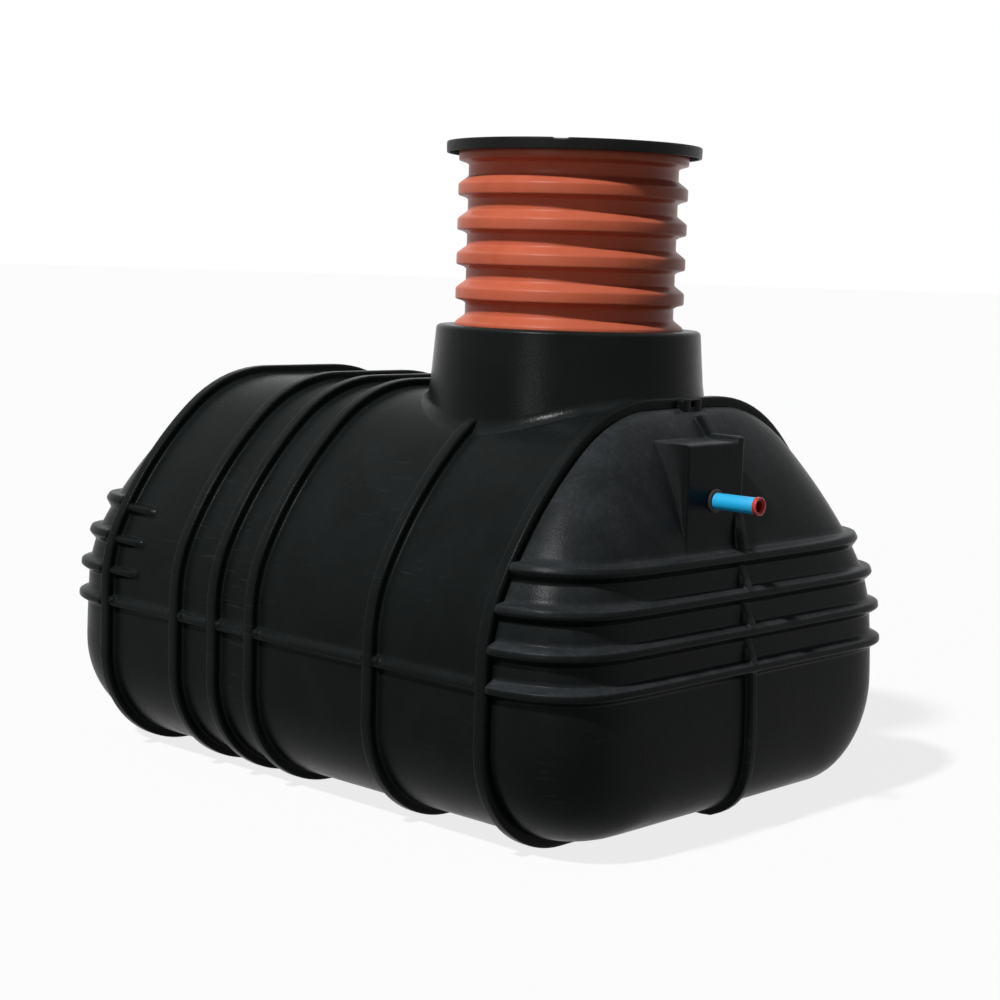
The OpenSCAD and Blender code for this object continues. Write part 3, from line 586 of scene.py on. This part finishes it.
def lid_notch(r, h, a):
    """Dip in the lid's rim: the depth over 1 + exp((d - half width) / 1.2), at d mm along the edge from
    the notch's middle."""
    across = (a - np.radians(LID_NOTCH_TURN) + np.pi) % (2 * np.pi) - np.pi
    share = 1 / (1 + np.exp((np.abs(across) * LID_R - LID_NOTCH_W / 2) / 1.2))
    on_rim = (r > LID_R - 20) & (h > LID_TOP_Z - 5)
    return np.where(on_rim, share * LID_NOTCH_DEPTH, 0)


def pipe_piece(name, profile, radius, steps, material, node):
    """A turned loop along +X round the stub's axis, with small rounded corners."""
    turned(name, rounded(profile, radius, steps), 72, material, [node], "x", (STUB_Y, STUB_Z))


def plain_pipe(node, r_in, r_out):
    """Corners of a plain pipe between two radii, as long as its CAD node."""
    low, high = node_box(node)
    return [(r_in, low[0]), (r_out, low[0]), (r_out, high[0]), (r_in, high[0])]


def stub_pieces(rubber, blue, red):
    """Grommet, sleeve, inner tube and end ring."""
    hole_r, inner_flange_r, flange_r, back = SLEEVE_R + 4, SLEEVE_R + 8, SLEEVE_R + 10, PAD_X - WALL
    grommet = [(SLEEVE_R, back - 5), (inner_flange_r, back - 5), (inner_flange_r, back), (hole_r, back),
               (hole_r, PAD_X), (flange_r, PAD_X), (flange_r, PAD_X + 4), (flange_r - 3.5, PAD_X + 7),
               (SLEEVE_R, PAD_X + 7)]
    pipe_piece("pipe_grommet", grommet, 1.2, 3, rubber, "stub_grommet")
    sleeve = plain_pipe("stub_sleeve", TUBE_R, SLEEVE_R)
    tube = plain_pipe("stub_tube", BORE_R, TUBE_R)
    ring = plain_pipe("stub_ring", TUBE_R, RING_R)
    pipe_piece("pipe_sleeve", sleeve, 0.7, 3, blue, "stub_sleeve")
    pipe_piece("pipe_tube", tube, 0.7, 3, red, "stub_tube")
    pipe_piece("pipe_ring", ring, 2.0, 4, red, "stub_ring")


# ---------------------------------------------------------------- shared shader effects

def group_tree(name, inputs, outputs):
    """A shader node group with the given sockets, and its input and output nodes."""
    tree = bpy.data.node_groups.new(name, "ShaderNodeTree")
    for label, kind, value in inputs:
        socket = tree.interface.new_socket(label, in_out="INPUT", socket_type="NodeSocket" + kind)
        if value is not None:
            socket.default_value = value
    for label, kind in outputs:
        tree.interface.new_socket(label, in_out="OUTPUT", socket_type="NodeSocket" + kind)
    return tree, tree.nodes.new("NodeGroupInput"), tree.nodes.new("NodeGroupOutput")


def noise(tree, vector, scale, detail=3.0, roughness=0.55, distortion=0.0):
    """A noise texture's factor at a scale, read at a vector socket."""
    node = tree.nodes.new("ShaderNodeTexNoise")
    node.inputs["Scale"].default_value = scale if isinstance(scale, (int, float)) else 1.0
    node.inputs["Detail"].default_value = detail
    node.inputs["Roughness"].default_value = roughness
    node.inputs["Distortion"].default_value = distortion
    tree.links.new(vector, node.inputs["Vector"])
    if not isinstance(scale, (int, float)):
        tree.links.new(scale, node.inputs["Scale"])
    return node.outputs["Fac"]


def maths(tree, operation, a, b=0.0, clamp=False):
    """One Math node, with numbers or sockets for its two values."""
    node = tree.nodes.new("ShaderNodeMath")
    node.operation = operation
    node.use_clamp = clamp
    for k, value in enumerate((a, b)):
        if isinstance(value, (int, float)):
            node.inputs[k].default_value = value
        else:
            tree.links.new(value, node.inputs[k])
    return node.outputs[0]


def spread(tree, value, low, high, to_low=0.0, to_high=1.0):
    """A value mapped from one range to another, smoothly and clamped."""
    node = tree.nodes.new("ShaderNodeMapRange")
    node.interpolation_type = "SMOOTHSTEP"
    for label, number in (("From Min", low), ("From Max", high), ("To Min", to_low), ("To Max", to_high)):
        node.inputs[label].default_value = number
    tree.links.new(value, node.inputs["Value"])
    return node.outputs["Result"]


def moulded_skin_group():
    """Skin of rotationally moulded plastic: a fine orange-peel height, broad low waves and roughness that
    drifts between a low and a high value."""
    tree, given, out = group_tree("moulded_skin", [
        ("Vector", "Vector", None), ("Peel Scale", "Float", 160.0), ("Wave Scale", "Float", 3.0),
        ("Rough Low", "Float", 0.35), ("Rough High", "Float", 0.5)],
        [("Height", "Float"), ("Roughness", "Float"), ("Drift", "Float")])
    vector = given.outputs["Vector"]
    peel = noise(tree, vector, given.outputs["Peel Scale"], 2.0)
    wave = noise(tree, vector, given.outputs["Wave Scale"], 2.0, 0.5)
    height = maths(tree, "ADD", maths(tree, "MULTIPLY", peel, 0.25), wave)
    drift = spread(tree, noise(tree, vector, 5.0, 4.0, 0.6, 0.6), 0.35, 0.65)
    span = maths(tree, "SUBTRACT", given.outputs["Rough High"], given.outputs["Rough Low"])
    rough = maths(tree, "ADD", given.outputs["Rough Low"], maths(tree, "MULTIPLY", span, drift))
    tree.links.new(height, out.inputs["Height"])
    tree.links.new(rough, out.inputs["Roughness"])
    tree.links.new(drift, out.inputs["Drift"])
    return tree


def dust_and_sheen_group():
    """Mask of pale dust and rain film, which also paints the sheen of overhead light: more on faces that look up,
    broken up by two sizes of noise.
    """
    tree, given, out = group_tree("dust_and_sheen_mask", [
        ("Vector", "Vector", None), ("Amount", "Float", 0.5), ("Patch Scale", "Float", 4.0)], [("Mask", "Float")])
    geometry = tree.nodes.new("ShaderNodeNewGeometry")
    split = tree.nodes.new("ShaderNodeSeparateXYZ")
    tree.links.new(geometry.outputs["Normal"], split.inputs[0])
    # Faces that look up get more of the pale colour: dust, and a painted sheen where overhead light would fall.
    upward_dust_and_sheen = spread(tree, split.outputs["Z"], -0.1, 0.95)
    blotches = noise(tree, given.outputs["Vector"], given.outputs["Patch Scale"], 5.0, 0.62, 1.2)
    patch = spread(tree, blotches, 0.3, 0.72)
    speck = spread(tree, noise(tree, given.outputs["Vector"], 70.0, 3.0, 0.7), 0.4, 0.8, 0.6, 1.0)
    dust_and_sheen_film = maths(tree, "MULTIPLY", maths(tree, "ADD", maths(tree, "MULTIPLY", patch, 0.55), 0.45), speck)
    mask = maths(tree, "MULTIPLY", maths(tree, "MULTIPLY", upward_dust_and_sheen, dust_and_sheen_film), given.outputs["Amount"], clamp=True)
    tree.links.new(mask, out.inputs["Mask"])
    return tree


def scuff_group():
    """Mask of fine handling scratches: noise stretched along one way, thinned to narrow bright lines, kept
    inside a few patches."""
    tree, given, out = group_tree("handling_scuffs", [
        ("Vector", "Vector", None), ("Amount", "Float", 0.3)], [("Mask", "Float")])
    stretch = tree.nodes.new("ShaderNodeMapping")
    stretch.inputs["Scale"].default_value = (9.0, 9.0, 120.0)
    stretch.inputs["Rotation"].default_value = (0.5, 0.35, 0.2)
    tree.links.new(given.outputs["Vector"], stretch.inputs["Vector"])
    lines = spread(tree, noise(tree, stretch.outputs["Vector"], 1.0, 2.0, 0.5), 0.62, 0.7)
    where = spread(tree, noise(tree, given.outputs["Vector"], 2.3, 2.0, 0.5), 0.52, 0.68)
    mask = maths(tree, "MULTIPLY", maths(tree, "MULTIPLY", lines, where), given.outputs["Amount"], clamp=True)
    tree.links.new(mask, out.inputs["Mask"])
    return tree


SKIN, DUST_AND_SHEEN, SCUFF = moulded_skin_group(), dust_and_sheen_group(), scuff_group()


def placed(tree, group, vector, **values):
    """A group node in a material, with its vector linked and its named values set."""
    node = tree.nodes.new("ShaderNodeGroup")
    node.node_tree = group
    tree.links.new(vector, node.inputs["Vector"])
    for label, value in values.items():
        node.inputs[label.replace("_", " ")].default_value = value
    return node


def blend_colour(tree, mask, a, b):
    """Colour a, going over to colour b where the mask is 1."""
    node = tree.nodes.new("ShaderNodeMix")
    node.data_type = "RGBA"
    tree.links.new(mask, node.inputs["Factor"])
    for socket, value in ((node.inputs[6], a), (node.inputs[7], b)):
        if isinstance(value, tuple):
            socket.default_value = (*value, 1.0)
        else:
            tree.links.new(value, socket)
    return node.outputs[2]


DUST_AND_SHEEN_ROUGHNESS = 0.12


def plastic(name, colour, drift_colour, dust_and_sheen_colour, dust_and_sheen_amount, scuffs, rough, peel, bump, specular, patch=4.0):
    """Moulded plastic: two close tones that drift into each other, a pale colour on top that is partly dust and
    partly painted sheen, and fine pale scuffs.
    """
    material = bpy.data.materials.new(name)
    material.use_nodes = True
    tree = material.node_tree
    shader = tree.nodes["Principled BSDF"]
    where = tree.nodes.new("ShaderNodeTexCoord").outputs["Object"]
    skin = placed(tree, SKIN, where, Peel_Scale=peel, Rough_Low=rough[0], Rough_High=rough[1])
    dust_and_sheen_film = placed(tree, DUST_AND_SHEEN, where, Amount=dust_and_sheen_amount, Patch_Scale=patch)
    marks = placed(tree, SCUFF, where, Amount=scuffs)
    tone = blend_colour(tree, skin.outputs["Drift"], colour, drift_colour)
    # Paler where the dust-and-sheen mask is: dust, and a painted sheen on faces that look up.
    tone = blend_colour(tree, dust_and_sheen_film.outputs["Mask"], tone, dust_and_sheen_colour)
    tone = blend_colour(tree, marks.outputs["Mask"], tone, dust_and_sheen_colour)
    tree.links.new(tone, shader.inputs["Base Color"])
    dust_and_sheen_roughening = maths(tree, "MULTIPLY", dust_and_sheen_film.outputs["Mask"], DUST_AND_SHEEN_ROUGHNESS)
    rougher = maths(tree, "ADD", skin.outputs["Roughness"], dust_and_sheen_roughening, clamp=True)
    tree.links.new(rougher, shader.inputs["Roughness"])
    relief = tree.nodes.new("ShaderNodeBump")
    relief.inputs["Strength"].default_value = 1.0
    relief.inputs["Distance"].default_value = bump
    tree.links.new(skin.outputs["Height"], relief.inputs["Height"])
    tree.links.new(relief.outputs["Normal"], shader.inputs["Normal"])
    shader.inputs["Specular IOR Level"].default_value = specular
    return material


BLACK_TONES = (0.003, 0.0043, 0.0038), (0.004, 0.0054, 0.005)
BLACK_SKIN = {"peel": 170.0, "bump": 0.0022}
BLACK_PE = plastic("black_moulded_plastic", *BLACK_TONES, (0.036, 0.04, 0.043),
                   dust_and_sheen_amount=0.2, scuffs=0.18, rough=(0.24, 0.33), specular=0.032, **BLACK_SKIN)
# The neck's copy of the black plastic: smoother and more specular, with a paler dust colour that paints part of its
# sheen.
NECK_PAINTED_SHEEN_PE = plastic("black_moulded_plastic_neck_painted_sheen", *BLACK_TONES, (0.05, 0.054, 0.058),
                  dust_and_sheen_amount=0.3, scuffs=0.3, rough=(0.2, 0.28), specular=0.055, **BLACK_SKIN)
# The ends' copy of the black plastic: a paler dust colour laid on thicker, which paints a sheen on the domes'
# up-facing tops, with a little more specular.
END_PAINTED_SHEEN_PE = plastic("black_moulded_plastic_ends_painted_sheen", *BLACK_TONES, (0.062, 0.067, 0.074),
                 dust_and_sheen_amount=0.65, scuffs=0.18, rough=(0.24, 0.33), specular=0.04, **BLACK_SKIN)
BRICK_RED = plastic("brick_red_plastic", (0.42, 0.088, 0.042), (0.47, 0.105, 0.054), (0.58, 0.27, 0.2),
                    dust_and_sheen_amount=0.1, scuffs=0.12, rough=(0.3, 0.38), peel=240.0, bump=0.0008, specular=0.12)
LID_BLACK = plastic("black_lid_plastic", (0.006, 0.006, 0.0065), (0.008, 0.0078, 0.008), (0.045, 0.047, 0.05),
                    dust_and_sheen_amount=0.25, scuffs=0.25, rough=(0.36, 0.48), peel=260.0, bump=0.001, specular=0.08)
RUBBER = plastic("dark_rubber", (0.02, 0.014, 0.014), (0.028, 0.02, 0.019), (0.07, 0.062, 0.06),
                 dust_and_sheen_amount=0.2, scuffs=0.0, rough=(0.6, 0.72), peel=320.0, bump=0.0005, specular=0.25)
BLUE = plastic("blue_sleeve_plastic", (0.012, 0.36, 0.66), (0.016, 0.40, 0.70), (0.3, 0.58, 0.72),
               dust_and_sheen_amount=0.18, scuffs=0.2, rough=(0.28, 0.38), peel=420.0, bump=0.0003, specular=0.4)
RED = plastic("red_tube_plastic", (0.42, 0.028, 0.022), (0.48, 0.036, 0.028), (0.6, 0.2, 0.17),
              dust_and_sheen_amount=0.15, scuffs=0.1, rough=(0.3, 0.4), peel=420.0, bump=0.0003, specular=0.4)


# ---------------------------------------------------------------- the object

def dress_frame():
    """Gives every CAD node its finish, shown or not."""
    finishes = {"riser": BRICK_RED, "lid": LID_BLACK, "riser_seal": RUBBER, "stub_grommet": RUBBER,
                "stub_sleeve": BLUE, "stub_tube": RED, "stub_ring": RED, "neck": NECK_PAINTED_SHEEN_PE, "front_end": END_PAINTED_SHEEN_PE}
    for name, obj in NODES.items():
        finish = finishes.get(name, BLACK_PE)
        for holder in obj.material_slots:
            holder.material = finish
        if not obj.material_slots:
            obj.data.materials.append(finish)


def build():
    """Every visible piece of the tank, in place of the plain nodes."""
    dress_frame()
    tank_wall(BLACK_PE)
    domed_end("front_dome", FRONT_X, 1, True, END_PAINTED_SHEEN_PE, ["front_end"])
    domed_end("rear_dome", REAR_X, -1, False, BLACK_PE, ["rear_end"])
    lifting_lug("front_eye_block", FRONT_X, 1, BLACK_PE, ["front_lug"])
    lifting_lug("rear_eye_block", REAR_X, -1, BLACK_PE, ["rear_lug"])
    neck_piece(NECK_PAINTED_SHEEN_PE)
    turned("corrugated_riser", riser_profile(), 180, BRICK_RED, ["riser"])
    turned("lid_cover", lid_profile(), 240, LID_BLACK, ["lid"], dip=lid_notch)
    stub_pieces(RUBBER, BLUE, RED)


# ---------------------------------------------------------------- floor, light and camera

def seen_mask(tree):
    """1 for camera, glossy and transmission rays, and 0 for the soft light on the object."""
    path = tree.nodes.new("ShaderNodeLightPath")
    return maths(tree, "MAXIMUM", path.outputs["Is Camera Ray"],
                 maths(tree, "MAXIMUM", path.outputs["Is Glossy Ray"], path.outputs["Is Transmission Ray"]))


FLOOR_R, FLOOR_TONE, FLOOR_GLOW = 400.0, 0.15, 0.82


def floor():
    """A wide disc under the tank that reads as white and keeps a soft shadow."""
    turn = np.radians(np.arange(0, 360, 5))
    mesh = bpy.data.meshes.new("floor")
    rim = FLOOR_R * np.stack([np.cos(turn), np.sin(turn), np.zeros(len(turn))], axis=-1)
    mesh.from_pydata(rim.tolist(), [], [list(range(len(rim)))])
    obj = bpy.data.objects.new("floor", mesh)
    bpy.context.scene.collection.objects.link(obj)
    paint = bpy.data.materials.new("pale_floor")
    paint.use_nodes = True
    tree = paint.node_tree
    shader = tree.nodes["Principled BSDF"]
    shader.inputs["Base Color"].default_value = (FLOOR_TONE, FLOOR_TONE, FLOOR_TONE, 1)
    shader.inputs["Roughness"].default_value = 1.0
    shader.inputs["Specular IOR Level"].default_value = 0.0
    shader.inputs["Emission Color"].default_value = (1, 1, 1, 1)
    tree.links.new(maths(tree, "MULTIPLY", seen_mask(tree), FLOOR_GLOW), shader.inputs["Emission Strength"])
    mesh.materials.append(paint)


def light(name, azimuth, elevation, strength, angle):
    """A sun lamp that shines from an azimuth and elevation, with soft edges set by its angle."""
    lamp = bpy.data.lights.new(name, "SUN")
    lamp.energy = strength
    lamp.angle = math.radians(angle)
    obj = bpy.data.objects.new(name, lamp)
    a, e = math.radians(azimuth), math.radians(elevation)
    towards = Vector((math.sin(a) * math.cos(e), -math.cos(a) * math.cos(e), math.sin(e)))
    obj.rotation_euler = towards.to_track_quat("Z", "Y").to_euler()
    bpy.context.scene.collection.objects.link(obj)


SKY_LOW, SKY_HIGH = (0.008, 0.008, 0.0075), (0.05, 0.058, 0.07)


def world():
    """Soft light that is brighter and bluer overhead, with a white background for the camera and reflections."""
    scene_world = bpy.data.worlds.new("studio")
    bpy.context.scene.world = scene_world
    scene_world.use_nodes = True
    tree = scene_world.node_tree
    back = tree.nodes["Background"]
    split = tree.nodes.new("ShaderNodeSeparateXYZ")
    tree.links.new(tree.nodes.new("ShaderNodeTexCoord").outputs["Generated"], split.inputs[0])
    sky = blend_colour(tree, spread(tree, split.outputs["Z"], 0.0, 0.9), SKY_LOW, SKY_HIGH)
    shown = blend_colour(tree, seen_mask(tree), sky, (1.0, 1.0, 1.0))
    tree.links.new(shown, back.inputs["Color"])
    back.inputs["Strength"].default_value = 1.0


CAMERA_TURNS, CAMERA_LENS, CAMERA_PLACE = (43.017, 6.793, 1.768), 71.572, (3.8694, -4.4187, 1.5588)


def camera():
    """Camera at a fitted place, looking along a fitted azimuth and elevation with a slight roll."""
    azimuth, elevation, roll = (math.radians(v) for v in CAMERA_TURNS)
    forward = Vector((-math.sin(azimuth) * math.cos(elevation), math.cos(azimuth) * math.cos(elevation),
                      -math.sin(elevation)))
    right = Vector((math.cos(azimuth), math.sin(azimuth), 0))
    up = right.cross(forward)
    side = right * math.cos(roll) + up * math.sin(roll)
    top = up * math.cos(roll) - right * math.sin(roll)
    lens = bpy.data.cameras.new("camera")
    lens.sensor_width = 36.0
    lens.lens = CAMERA_LENS
    lens.clip_end = 200.0
    obj = bpy.data.objects.new("camera", lens)
    turn = Matrix((side, top, -forward)).transposed().to_4x4()
    turn.translation = Vector(CAMERA_PLACE)
    obj.matrix_world = turn
    bpy.context.scene.collection.objects.link(obj)
    bpy.context.scene.camera = obj


build()
floor()
light("key_light", 2.0, 50.0, 3.9, 4.0)
light("low_light", 12.0, 4.0, 0.42, 16.0)
world()
camera()
bpy.context.scene.view_settings.view_transform = "Standard"
